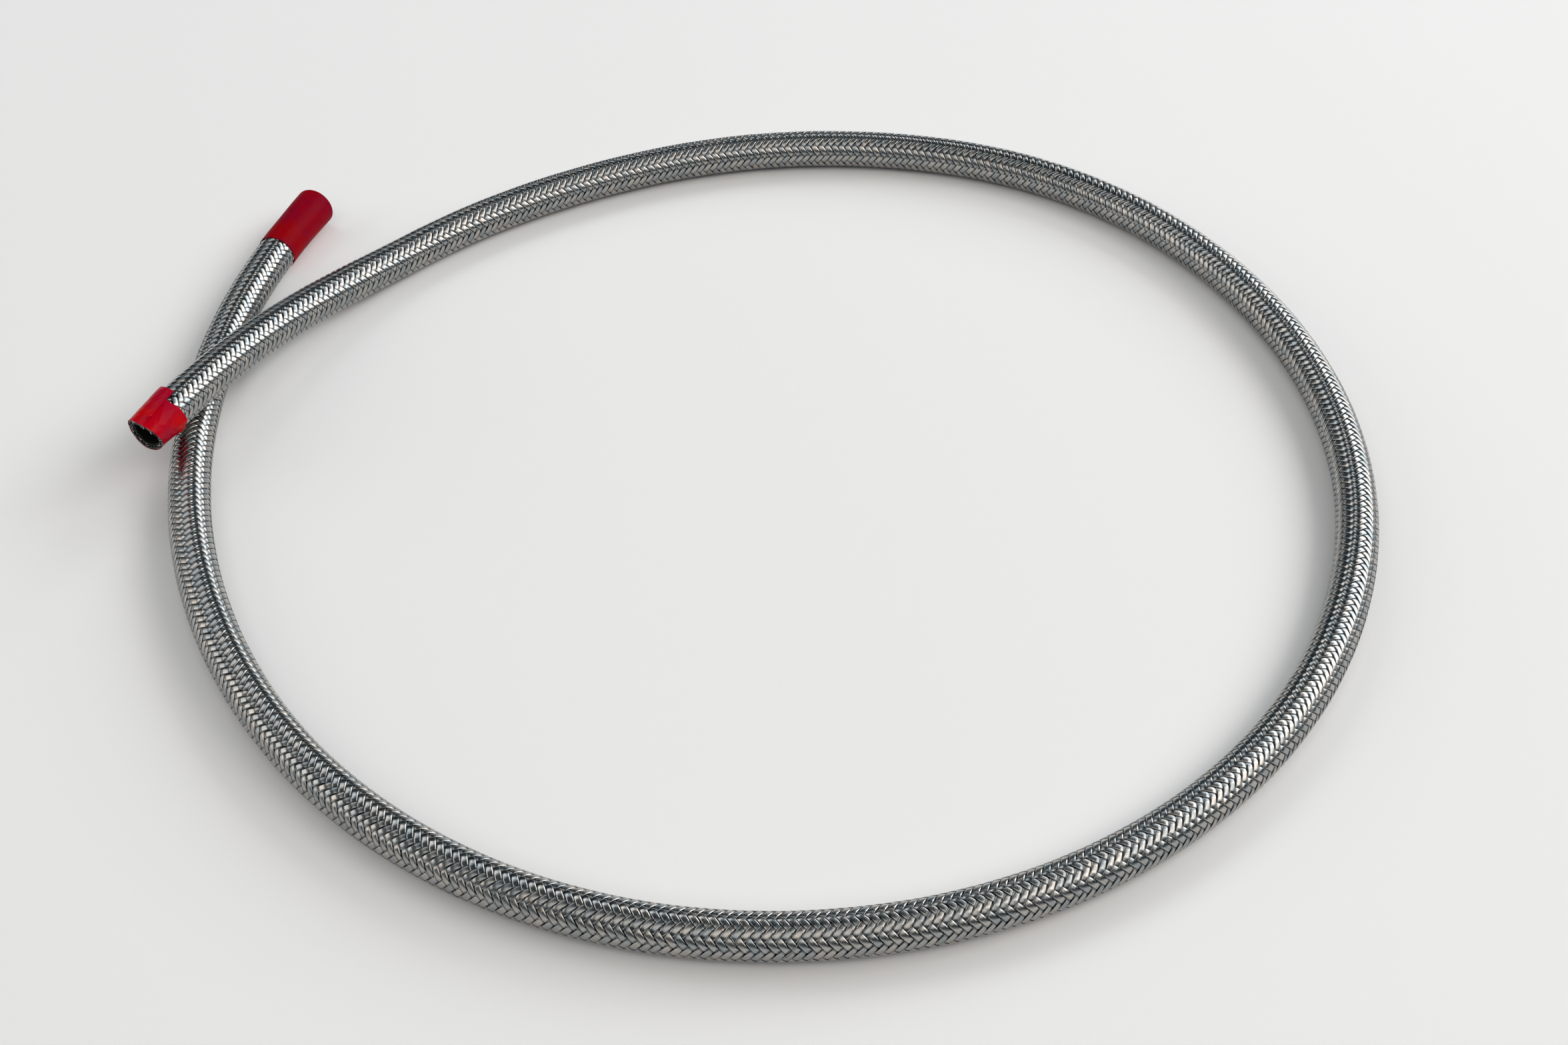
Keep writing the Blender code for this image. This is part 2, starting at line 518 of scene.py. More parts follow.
def add_bump(tree, height_from, depth):
    """A Bump node of a real depth in metres; gives its normal output."""
    bump = tree.nodes.new("ShaderNodeBump")
    bump.inputs["Distance"].default_value = depth
    bump.inputs["Strength"].default_value = 1.0
    tree.links.new(height_from, bump.inputs["Height"])
    return bump.outputs["Normal"]


print("The material helpers are ready")

# %% [markdown]
# Stainless wire is bright grey metal. Each float and wire goes at random from a cool to a warm
# grey. These greys are partly painted reflection: the cool, darker one stands for the dark teal
# room mirrored in the metal, and the warm one for the warm lamps. The crevices hold dark grime and
# painted shade. Nine round wires side by side spread a highlight across the bundle and hardly
# along it. Modelled wires would do that by themselves, at far too many faces. Here the shader's
# anisotropy does, turned by the ribbon's own map, and the strand group adds a fine bump.

# %% Stainless wire
# The cool grey is partly painted reflection of the dark teal room, and the warm grey of warm lamps.
STEEL_COOL = (0.28, 0.31, 0.325)
STEEL_WARM = (0.48, 0.445, 0.41)
# A dark teal colour for grime, which also stands for painted shade in the crevices.
STEEL_GRIME_AND_SHADE = (0.022, 0.036, 0.045)
STEEL_ROUGHNESS = 0.22
STEEL_ANISOTROPY = 0.85
ACROSS_THE_MAP = 0.25
GRIME_AND_SHADE_SHARE = 0.82
WIRE_TONE_SHARE = 0.45
FLOAT_TONE_SHARE = 0.55
WIRE_BUMP = 0.045 * WIRE

steel, steel_shader = new_material("stainless_wire", STEEL_WARM, 1.0, STEEL_ROUGHNESS)
steel_shader.inputs["Anisotropic"].default_value = STEEL_ANISOTROPY
steel_shader.inputs["Anisotropic Rotation"].default_value = ACROSS_THE_MAP
steel_tree = steel.node_tree
steel_grain = steel_tree.nodes.new("ShaderNodeTangent")
steel_grain.direction_type = "UV_MAP"
steel_grain.uv_map = "ribbon"
steel_tree.links.new(steel_grain.outputs["Tangent"], steel_shader.inputs["Tangent"])

steel_place = steel_tree.nodes.new("ShaderNodeUVMap")
steel_place.uv_map = "ribbon"
steel_wires = steel_tree.nodes.new("ShaderNodeGroup")
steel_wires.node_tree = strands
steel_tree.links.new(steel_place.outputs["UV"], steel_wires.inputs["Ribbon"])

wire_tone = add_math(steel_tree, "MULTIPLY", steel_wires.outputs["Wire Tone"], WIRE_TONE_SHARE)
float_tone = add_math(steel_tree, "MULTIPLY", steel_wires.outputs["Float Tone"], FLOAT_TONE_SHARE)
steel_tone = add_math(steel_tree, "ADD", wire_tone, float_tone)
# Random tone per wire and float, between greys that are partly painted reflection colours.
steel_bright = add_ramp(steel_tree, steel_tone, [(0.1, STEEL_COOL), (0.9, STEEL_WARM)])
# Painted shade and grime: the base colour darkens towards the dark colour along the crevice mask.
steel_shade_and_grime = add_math(steel_tree, "MULTIPLY", steel_wires.outputs["Crevice Shade And Grime"], GRIME_AND_SHADE_SHARE)
steel_color = add_mix(steel_tree, steel_shade_and_grime, steel_bright, STEEL_GRIME_AND_SHADE)
steel_tree.links.new(steel_color, steel_shader.inputs["Base Color"])
steel_bump = add_bump(steel_tree, steel_wires.outputs["Height"], WIRE_BUMP)
steel_tree.links.new(steel_bump, steel_shader.inputs["Normal"])
print("The steel has", len(steel_tree.nodes), "nodes")

# %% [markdown]
# Rubber, tape and single wires all vary a little over their surface. An image could show that,
# but noise in the piece's own metres has no seams and no end. It is one group with its own values
# in each material: how fine it is, and how much finer noise is laid over it.

# %% Grain
grain, grain_in, grain_out = new_group(
    "grain",
    [
        ("Place", "NodeSocketVector", None),
        ("Scale", "NodeSocketFloat", 100.0),
        ("Detail", "NodeSocketFloat", 2.0),
        ("Roughness", "NodeSocketFloat", 0.5),
    ],
    [("Grain", "NodeSocketFloat")],
)
grain_noise = grain.nodes.new("ShaderNodeTexNoise")
grain.links.new(grain_in.outputs["Place"], grain_noise.inputs["Vector"])
for socket in ("Scale", "Detail", "Roughness"):
    grain.links.new(grain_in.outputs[socket], grain_noise.inputs[socket])
grain.links.new(grain_noise.outputs["Fac"], grain_out.inputs["Grain"])


def add_grain(tree, scale, detail=2.0, roughness=0.5):
    """The grain group on the piece's own metres, with its own values; gives its output."""
    place = tree.nodes.new("ShaderNodeTexCoord")
    node = tree.nodes.new("ShaderNodeGroup")
    node.node_tree = grain
    tree.links.new(place.outputs["Object"], node.inputs["Place"])
    node.inputs["Scale"].default_value = scale
    node.inputs["Detail"].default_value = detail
    node.inputs["Roughness"].default_value = roughness
    return node.outputs["Grain"]


print("The grain group has", len(grain.nodes), "nodes")

# %% [markdown]
# The tube inside is matt black rubber with a fine grain. Little light comes into its bore, so
# its colour stays almost plain, and the grain only breaks up the shine on its cut rim.

# %% Black rubber
RUBBER_PLAIN = (0.006, 0.006, 0.007)
RUBBER_DARK = (0.003, 0.003, 0.004)
RUBBER_LIGHT = (0.012, 0.012, 0.013)
RUBBER_ROUGHNESS = 0.6
RUBBER_SPECULAR = 0.3
RUBBER_GRAIN = 1800.0
RUBBER_GRAIN_DEPTH = 0.0002

rubber, rubber_shader = new_material("black_rubber", RUBBER_PLAIN, 0.0, RUBBER_ROUGHNESS)
rubber_shader.inputs["Specular IOR Level"].default_value = RUBBER_SPECULAR
rubber_tree = rubber.node_tree
rubber_grain = add_grain(rubber_tree, RUBBER_GRAIN, detail=4.0)
rubber_color = add_ramp(rubber_tree, rubber_grain, [(0.35, RUBBER_DARK), (0.7, RUBBER_LIGHT)])
rubber_tree.links.new(rubber_color, rubber_shader.inputs["Base Color"])
rubber_bump = add_bump(rubber_tree, rubber_grain, RUBBER_GRAIN_DEPTH)
rubber_tree.links.new(rubber_bump, rubber_shader.inputs["Normal"])
print("The rubber has", len(rubber_tree.nodes), "nodes")

# %% [markdown]
# The tape is red vinyl. A noise turns it a little pink in places, as a painted sheen, and small
# creases from the winding and the wire below break up its shine. The loose tape is the glossier of
# the two, and the tight one is deeper in colour. One function makes both, so they stay the same
# stuff.

# %% Red tape
TONE_GRAIN = 70.0
SHINE_GRAIN = 240.0
SHINE_RANGE = 0.24
CREASE_GRAIN = 330.0
CREASE_DEPTH = 0.00018


def new_tape(name, deep, painted_sheen_pink, roughness, gloss):
    """Red tape between a deep tone and a pinkish tone of painted sheen."""
    material, shader = new_material(name, deep, 0.0, roughness)
    shader.inputs["Specular IOR Level"].default_value = gloss
    tree = material.node_tree
    tone = add_grain(tree, TONE_GRAIN, detail=3.0)
    # The pinkish tone, laid by a noise, is painted sheen.
    color = add_ramp(tree, tone, [(0.38, painted_sheen_pink), (0.64, deep)])
    tree.links.new(color, shader.inputs["Base Color"])
    least = roughness - SHINE_RANGE / 2.0
    shine = add_math(tree, "MULTIPLY_ADD", add_grain(tree, SHINE_GRAIN), SHINE_RANGE, least)
    tree.links.new(shine, shader.inputs["Roughness"])
    creases = add_grain(tree, CREASE_GRAIN, detail=3.0, roughness=0.6)
    tree.links.new(add_bump(tree, creases, CREASE_DEPTH), shader.inputs["Normal"])
    return material


near_red = new_tape(
    "red_tape",
    deep=(0.50, 0.0, 0.002),
    painted_sheen_pink=(0.38, 0.0, 0.018),
    roughness=0.3,
    gloss=0.05,
)
far_red = new_tape(
    "red_tape_tight",
    deep=(0.28, 0.0, 0.003),
    painted_sheen_pink=(0.23, 0.0, 0.014),
    roughness=0.46,
    gloss=0.025,
)
print("Each red has", len(near_red.node_tree.nodes), "nodes")

# %% [markdown]
# The cut ends of the wire are brighter than the weave, because the shears leave clean metal.
# Wires that have sprung out of the weave along the hose are as dull as the rest. Both are plain
# metal with a tone that changes along the wire.

# %% Single wires
WIRE_GRAIN = 1500.0
WIRE_ROUGHNESS = 0.3


def new_wire(name, dark, light):
    """Wire of its own, with a tone that changes along it."""
    material, shader = new_material(name, light, 1.0, WIRE_ROUGHNESS)
    tree = material.node_tree
    color = add_ramp(tree, add_grain(tree, WIRE_GRAIN), [(0.38, dark), (0.60, light)])
    tree.links.new(color, shader.inputs["Base Color"])
    return material


cut_wire = new_wire("cut_wire", dark=(0.40, 0.41, 0.42), light=(0.90, 0.88, 0.85))
sprung_wire = new_wire("sprung_wire", dark=(0.12, 0.13, 0.14), light=(0.34, 0.33, 0.32))
print("The single wires are", cut_wire.name, "and", sprung_wire.name)

# %% [markdown]
# A bundle winds round the hose like a thread on a screw. Every bundle of the other hand that it
# meets is one crossing. Across its width it is a little crowned, and its edges turn down, so a
# bundle is a long strip with seven corners in each row. A row stands at a few places of the four
# crossings, with more of them on top, where the strip is seen, than below.

# %% The weave's sizes
PITCH = 2.0 * math.pi / BUNDLES_EACH_WAY
CROSSINGS = 2.0 * BUNDLES_EACH_WAY * HOSE_LENGTH / BRAID_LEAD
WEAVE_RISE = 0.00032
WEAVE_MIDDLE = HOSE_OUTER / 2.0 - WEAVE_RISE
WEAVE_PHASE = 0.5
FLAT_TOP = 2.2
COLUMN_TURN = math.radians(-37.5)
OVER_ROWS = (0.0, 0.333, 0.667, 1.0, 1.333, 1.667)
UNDER_ROWS = (2.0, 2.667, 3.333)
ROWS_BEYOND = 0.7
SPARE_PERIODS = 40.0
# Places across the ribbon as shares of the room that a bundle has, and the drop from its crown.
RIBBON_SECTION = [
    (-0.452, 0.00034),
    (-0.432, 0.00012),
    (-0.28, 0.00002),
    (0.0, 0.0),
    (0.28, 0.00002),
    (0.432, 0.00012),
    (0.452, 0.00034),
]
across = np.array([place for place, drop in RIBBON_SECTION])
crown_drop = np.array([drop for place, drop in RIBBON_SECTION])
print("A bundle makes", round(CROSSINGS), "crossings from end to end")

# %% [markdown]
# A plain sine would make a float too pointed, so its top is flattened, as pulled wire lies. Real
# bundles also stray a little from their line and swell a little, which two waves along them and a
# change from float to float give. All of it is worked out in distances, turns and radii and then
# laid along the hose, where an Array and a Curve modifier would stretch the outer side.

# %% Lay one bundle
SLOW_STRAY = 0.022
QUICK_STRAY = 0.014
SWELL = 0.00003


def weave_height(lift):
    """How far above the weave's middle a bundle runs, from -1 to 1, nearly flat at its top."""
    return np.tanh(FLAT_TOP * np.sin(0.5 * math.pi * lift)) / math.tanh(FLAT_TOP)


def bundle_rows(number, hand):
    """Each row's place in the over and under, and the crossings before it; hand is 1 or -1."""
    phase = hand * (2.0 * number + WEAVE_PHASE)
    periods = np.arange(-SPARE_PERIODS, CROSSINGS / WEAVE_PERIOD + SPARE_PERIODS)
    lift = (WEAVE_PERIOD * periods[:, None] + np.array(OVER_ROWS + UNDER_ROWS)).ravel()
    crossed = lift - phase
    kept = (crossed > -ROWS_BEYOND) & (crossed < CROSSINGS + ROWS_BEYOND)
    return lift[kept], crossed[kept]


def bundle_corners(number, hand, lift, crossed):
    """The corners of one bundle, row by row, from the near cut to where the wire stops."""
    stray = SLOW_STRAY * np.sin(0.071 * crossed + 2.3 * number + hand)
    stray += QUICK_STRAY * np.sin(0.43 * crossed + 1.1 * number)
    sideways = across + stray[:, None]
    along = (crossed[:, None] - hand * sideways) * BRAID_LEAD / (2.0 * BUNDLES_EACH_WAY)
    turn = COLUMN_TURN + 0.5 * PITCH * (2.0 * number + sideways + hand * crossed[:, None])
    swell = SWELL * np.sin(1.9 * np.floor(lift / WEAVE_PERIOD) + 0.7 * number)
    radius = WEAVE_MIDDLE + (WEAVE_RISE * weave_height(lift) + swell)[:, None] - crown_drop
    return on_hose(np.clip(along, 0.0, BRAID_END), turn, radius).reshape(-1, 3)


def strip_faces(rows):
    """The faces of a strip of that many rows, each wound so that it looks outwards."""
    width = len(across)
    first = (np.arange(rows - 1)[:, None] * width + np.arange(width - 1)).ravel()
    return np.stack([first + width, first + width + 1, first + 1, first], axis=1)


bundle_lift, bundle_crossed = bundle_rows(0, 1)
print("The first bundle has", len(bundle_lift), "rows of corners")

# %% [markdown]
# A bundle has two maps. The ribbon map tells the material where it is on the ribbon. The other
# lays the bundle out flat in rows, like lines on a page, for a picture of its colours. Unwrapping
# it by itself would leave one thin line two metres long and most of the page empty.

# %% A bundle's maps
RIBBON_MAP_WIDTH = 0.92
BAKE_ROWS = 20
BAKE_MARGIN = 0.06


def ribbon_places(number, lift):
    """Where each corner of a bundle lies on the ribbon map."""
    ribbon = number + 0.5 + across / RIBBON_MAP_WIDTH
    return np.stack(np.broadcast_arrays(lift[:, None], ribbon), axis=-1).reshape(-1, 2)


def bundle_page(rows):
    """Where the four corners of each of a bundle's faces lie on its page."""
    steps_in_row = math.ceil((rows - 1) / BAKE_ROWS)
    step = np.repeat(np.arange(rows - 1), len(across) - 1)
    left = (step % steps_in_row) / steps_in_row
    right = left + 1.0 / steps_in_row
    share = BAKE_MARGIN + (1.0 - 2.0 * BAKE_MARGIN) * (across - across[0]) / (across[-1] - across[0])
    low = step // steps_in_row + np.tile(share[:-1], rows - 1)
    high = step // steps_in_row + np.tile(share[1:], rows - 1)
    return np.stack([[right, right, left, left], [low, high, high, low]]).transpose(2, 1, 0)


print("A bundle's page has", BAKE_ROWS, "rows")

# %% [markdown]
# The braid is 24 bundles. As one piece it would have more triangles than a piece should, and as
# 24 it would be many small ones. Two bundles that face each other across the hose make one piece,
# so there are six pieces that wind one way and six that wind the other.

# %% The braid
def braid_piece(name, numbers, hand):
    """Bundles of one hand as one smooth piece, with its ribbon map and its page."""
    corners, faces, places, page = [], [], [], []
    for line, number in enumerate(numbers):
        lift, crossed = bundle_rows(number, hand)
        faces.append(strip_faces(len(lift)) + sum(len(done) for done in corners))
        corners.append(bundle_corners(number, hand, lift, crossed))
        places.append(ribbon_places(number, lift))
        page.append(bundle_page(len(lift)) + (0.0, line * BAKE_ROWS))
    faces = np.concatenate(faces)
    page = np.concatenate(page) / (1.0, len(numbers) * BAKE_ROWS)
    mesh = bpy.data.meshes.new(name)
    mesh.from_pydata(np.concatenate(corners), [], faces.tolist())
    ribbon_map = mesh.uv_layers.new(name="ribbon")
    ribbon_map.data.foreach_set("uv", np.concatenate(places)[faces.ravel()].ravel())
    page_map = mesh.uv_layers.new(name="OFBake")
    page_map.data.foreach_set("uv", page.ravel())
    mesh.materials.append(steel)
    mesh.shade_smooth()
    piece = bpy.data.objects.new(name, mesh)
    bpy.context.scene.collection.objects.link(piece)
    return piece


braid = []
half = BUNDLES_EACH_WAY // 2
for hand, side in ((1, "right"), (-1, "left")):
    for number in range(half):
        braid.append(braid_piece(f"braid_{side}_hand_{number + 1}", (number, number + half), hand))
print("The braid has", 2 * sum(len(piece.data.polygons) for piece in braid), "triangles")

# %% [markdown]
# Rubber and tape are easiest to shape on a straight hose that stands on end at the origin, with z
# as the distance along it, and to lay along the route afterwards. On the route the turn goes the
# other way round, which turns a piece inside out, so its faces are turned over once it is laid.
# A Curve modifier would bend a piece too, but it knows nothing of the slanted, squeezed end.

# %% Lay a piece along the hose
def read_corners(piece):
    """The corners of a piece, one row each."""
    corners = np.empty(3 * len(piece.data.vertices))
    piece.data.vertices.foreach_get("co", corners)
    return corners.reshape(-1, 3)


def move_corners(piece, corners):
    """Puts each corner of a piece at its new place."""
    piece.data.vertices.foreach_set("co", corners.ravel())
    piece.data.update()


def straight_places(piece):
    """The distance along, turn and radius of each corner of a piece on the straight hose."""
    x, y, z = read_corners(piece).T
    return z, np.arctan2(y, x), np.hypot(x, y)


def on_straight_hose(along, turn, radius):
    """Corners on the straight hose at those distances, turns and radii."""
    return np.column_stack([radius * np.cos(turn), radius * np.sin(turn), along])


def lay_along_hose(piece):
    """Moves each corner of a piece from the straight hose to its place on the route."""
    move_corners(piece, on_hose(*straight_places(piece)))
    piece.data.flip_normals()


print("Pieces can be laid along the hose")

# %% [markdown]
# Rubber and tape both start as a surface without thickness. A Solidify modifier gives the wall,
# inwards, so that the outer size stays as made. Their rims stay sharp and the rest is smooth.

# %% Give a surface its wall
SHARP_ANGLE = math.radians(40.0)


def select_only(piece):
    """Makes a piece the only selected one and the active one."""
    bpy.ops.object.select_all(action="DESELECT")
    piece.select_set(True)
    bpy.context.view_layer.objects.active = piece


def finish_wall(piece, wall):
    """Gives a surface its wall, inwards, and smooths it but for its sharp edges."""
    select_only(piece)
    solidify = piece.modifiers.new("wall", "SOLIDIFY")
    solidify.thickness = wall
    solidify.offset = -1.0
    solidify.use_even_offset = True
    bpy.ops.object.modifier_apply(modifier=solidify.name)
    bpy.ops.object.shade_smooth_by_angle(angle=SHARP_ANGLE)


print("Walls are given inwards")

# %% [markdown]
# The rubber tube carries the fuel, and its wall and bore show at the near mouth. It starts as an
# open cylinder. Its long edges are picked by their ends, which differ in height, and are cut up,
# so that it can bend. A curve with a round bevel would make a tube as well, but not its wall.

# %% The straight rubber tube
RUBBER_RINGS = 320
RUBBER_SIDES = 48
RUBBER_BACK = 0.0007

bpy.ops.object.select_all(action="DESELECT")
bpy.ops.mesh.primitive_cylinder_add(
    vertices=RUBBER_SIDES,
    radius=HOSE_BORE / 2.0 + RUBBER_WALL,
    depth=FAR_CUT - 2.0 * RUBBER_BACK,
    end_fill_type="NOTHING",
    location=(0.0, 0.0, FAR_CUT / 2.0),
)
rubber_tube = bpy.context.active_object
rubber_tube.name = "rubber_tube"
rubber_tube.data.materials.append(rubber)
bpy.ops.object.transform_apply(location=True)
bpy.ops.object.mode_set(mode="EDIT")
bpy.ops.mesh.select_mode(type="EDGE")
bpy.ops.mesh.select_all(action="DESELECT")
bpy.ops.object.mode_set(mode="OBJECT")
for edge in rubber_tube.data.edges:
    first, last = (rubber_tube.data.vertices[corner].co.z for corner in edge.vertices)
    edge.select = first != last
bpy.ops.object.mode_set(mode="EDIT")
bpy.ops.mesh.subdivide(number_cuts=RUBBER_RINGS - 2)
bpy.ops.object.mode_set(mode="OBJECT")
finish_wall(rubber_tube, RUBBER_WALL)
print("The rubber tube has", len(rubber_tube.data.polygons), "faces")

# %% [markdown]
# A knife leaves the near rim a little rough. Two waves round the rim, one of them different
# inside and outside, move its corners back and forth before the tube is laid along the hose.

# %% The rubber's rim
KNIFE_WAVE = 0.00022
KNIFE_NICKS = 0.00016

along, turn, radius = straight_places(rubber_tube)
rough = KNIFE_WAVE * np.sin(9.0 * turn) + KNIFE_NICKS * np.sin(23.0 * turn + 4000.0 * radius)
at_rim = along < 1.5 * RUBBER_BACK
move_corners(rubber_tube, on_straight_hose(along + rough * at_rim, turn, radius))
lay_along_hose(rubber_tube)
print(at_rim.sum(), "corners of the rim are roughened")

# %% [markdown]
# A tape is a flat strip wound round the hose. A grid stands for the strip: its width runs along
# the hose, and its length winds round it and over its own start. A ring would be simpler, but
# only a real winding shows its loose end and its two layers.

# %% Wind a tape
TAPE_THICKNESS = 0.00018
TAPE_LAYER = 1.1 * TAPE_THICKNESS
TAPE_OFF_WIRE = 0.00022
TAPE_OVER_WIRE = HOSE_OUTER / 2.0 + TAPE_OFF_WIRE


def wind_tape(name, grid, shape, material):
    """Rolls a grid into a tape; shape gives along, turn and radius from the two grid shares."""
    bpy.ops.object.select_all(action="DESELECT")
    bpy.ops.mesh.primitive_grid_add(x_subdivisions=grid[0], y_subdivisions=grid[1], size=1.0)
    piece = bpy.context.active_object
    piece.name = name
    piece.data.materials.append(material)
    wound, width = read_corners(piece).T[:2] + 0.5
    move_corners(piece, on_straight_hose(*shape(wound, width)))
    finish_wall(piece, TAPE_THICKNESS)
    lay_along_hose(piece)
    return piece


print(f"A layer of tape is {TAPE_LAYER / MILLIMETRE:.2f} mm thick as it is wound")

# %% [markdown]
# The near tape was put on loosely. It widens away from the mouth, and its back edge steps where
# the strip's loose end lies on top. Between a few crease lines it lies flat instead of round, as
# a stiff film does. A table gives the back edge, and another the lines and how they slant.

# %% The near tape's edges and flat places
TAPE_WOUND = 395.0
LOOSE_END_TURN = -16.0
WINDING_SLANT = 3.0
# Degrees from the loose end, and how many millimetres the back edge lies from the mouth there.
BACK_EDGE = [(0.0, 23.2), (20.0, 23.4), (64.0, 26.0), (100.0, 25.5), (175.0, 21.5), (220.0, 19.0),
             (250.0, 18.7), (290.0, 18.9), (322.0, 18.2), (345.0, 17.2), (360.0, 17.4), (395.0, 18.0)]
# Each crease line's turn at the mouth in degrees, and how many degrees it slants in a millimetre.
FLAT_LINES = [(-180.0, 0.0), (-135.0, 0.0), (-99.0, 0.3), (-67.0, 1.1), (-57.0, 2.6)]


def flattening(turn, along):
    """How far a flat place lies inside the round, as a share of the radius."""
    degrees = np.degrees(np.arctan2(np.sin(turn), np.cos(turn)))
    lines = [start + slant * along / MILLIMETRE for start, slant in FLAT_LINES]
    lines.append(np.full_like(degrees, LOOSE_END_TURN))
    inside = np.zeros_like(degrees)
    for low, high in zip(lines[:-1], lines[1:]):
        half_turn = np.radians(np.maximum(high - low, 1.0)) / 2.0
        off_middle = np.radians(degrees) - np.radians((low + high) / 2.0)
        chord = 1.0 - np.cos(half_turn) / np.cos(np.clip(off_middle, -half_turn, half_turn))
        inside = np.where((degrees >= low) & (degrees < high), chord, inside)
    return inside


print("The near tape has", len(FLAT_LINES), "flat places")

# %% [markdown]
# Along its loose end the tape stands off a little, in wrinkles. Beside it sits one small blister,
# and the corner at the back lifts. Each is a smooth bump in the tape's own distances, added to
# the radius. Sculpting would do this too, but numbers keep each one where the photograph shows it.

# %% The near tape's bumps
SEAM_LIFT = 0.00026
BLISTER_HEIGHT = 0.0012
FLAP_HEIGHT = 0.0002
FILM_WAVES = 0.00007


def near_tape_bumps(degrees, along):
    """How far the loose tape stands off at each place; degrees count from its loose end."""
    wrinkle = 1.0 + 0.55 * np.sin(1500.0 * along) + 0.35 * np.sin(3700.0 * along + 1.0)
    seam = SEAM_LIFT * wrinkle * np.exp(-((degrees / 6.0) ** 2)) * ease(along / 0.006)
    blister_off = ((along - 0.0056) / 0.0013) ** 2 + ((degrees - 3.5) / 3.6) ** 2
    blister = BLISTER_HEIGHT * np.exp(-blister_off)
    flap = FLAP_HEIGHT * np.exp(-((degrees / 30.0) ** 2)) * ease((along - 0.018) / 0.007)
    waves = np.sin(0.11 * degrees + 420.0 * along) * np.sin(900.0 * along + 0.05 * degrees)
    return seam + blister + flap + FILM_WAVES * waves * ease(along / 0.005)


print(f"The blister stands {BLISTER_HEIGHT / MILLIMETRE:.1f} mm proud")

# %% [markdown]
# The near tape lies nearer to the eye than the far one and has the folds, so its grid is finer.
# Its flat places never go in further than the radius at the mouth, because the wire is there.

# %% The near tape
NEAR_TAPE_GRID = (260, 48)
BACK_OFF_WIRE = 0.0013
BACK_WIDENING = 1.2 * (BACK_OFF_WIRE - TAPE_OFF_WIRE)
WIDENING_RUN = 0.034
FLAT_SHARE = 0.75
FLAT_RUN = 0.004


def near_tape_shape(wound, width):
    """The loose tape at the near end."""
    degrees = TAPE_WOUND * wound
    along = MILLIMETRE * np.interp(degrees, *np.transpose(BACK_EDGE)) * width
    turn = np.radians(LOOSE_END_TURN + degrees + WINDING_SLANT * width)
    radius = TAPE_OVER_WIRE + BACK_WIDENING * ease(along / WIDENING_RUN)
    radius -= TAPE_LAYER * (degrees / 360.0 - 1.0)
    radius *= 1.0 - FLAT_SHARE * flattening(turn, along) * ease(along / FLAT_RUN)
    return along, turn, np.maximum(radius, TAPE_OVER_WIRE) + near_tape_bumps(degrees, along)


near_tape = wind_tape("near_tape", NEAR_TAPE_GRID, near_tape_shape, near_red)
print("The near tape has", len(near_tape.data.polygons), "faces")

# %% [markdown]
# The far tape is wound tight and smooth. The wire below it spreads a little towards the cut, so
# the tape does too, and its edge curls in over the cut wires. The curl is the last part of the
# strip's width, bent round a small radius, so the edge stays one sheet with the rest.

# %% The far tape
FAR_TAPE_GRID = (150, 64)
FAR_TAPE_EXTRA = 0.0015
FAR_TAPE_BACK = HOSE_LENGTH - FAR_TAPE_LENGTH - FAR_TAPE_EXTRA
FAR_TAPE_WOUND = 372.0
FAR_SEAM_TURN = 150.0
FAR_SLANT = 0.0007
FAR_SPREAD = 0.00040
FAR_SPREAD_FROM = 0.028
FAR_SPREAD_RUN = 0.026
FAR_WAVES = 0.000035
CURL_SHARE = 0.86
CURL_TURN = math.radians(105.0)


def far_tape_shape(wound, width):
    """The tight tape at the far end, with its edge curled in."""
    degrees = FAR_TAPE_WOUND * wound
    curl = CURL_TURN * np.clip((width - CURL_SHARE) / (1.0 - CURL_SHARE), 0.0, 1.0)
    straight = np.clip(width / CURL_SHARE, 0.0, 1.0)
    slant = FAR_SLANT * np.cos(np.radians(degrees)) * (1.0 - straight)
    along = FAR_TAPE_BACK + (FAR_CUT - CURL_RADIUS - FAR_TAPE_BACK) * straight + slant
    along += CURL_RADIUS * np.sin(curl)
    spread = FAR_SPREAD * ease((along - HOSE_LENGTH + FAR_SPREAD_FROM) / FAR_SPREAD_RUN)
    waves = FAR_WAVES * np.sin(0.06 * degrees + 260.0 * along)
    radius = TAPE_OVER_WIRE + spread + TAPE_LAYER * (degrees / 360.0) + waves
    return along, np.radians(FAR_SEAM_TURN + degrees), radius - CURL_RADIUS * (1.0 - np.cos(curl))


far_tape = wind_tape("far_tape", FAR_TAPE_GRID, far_tape_shape, far_red)
print("The far tape has", len(far_tape.data.polygons), "faces")

# %% [markdown]
# Wires that show one by one are modelled one by one. All of a piece's wires are splines of one
# curve with a thin round bevel, which is made a mesh, because a cylinder would have to be bent.
# The caps at the wires' ends are merged with their sides, so that each wire is closed.

# %% Wires as one piece
CAP_MERGE = 1e-6
WIRE_SHARP_ANGLE = math.radians(50.0)


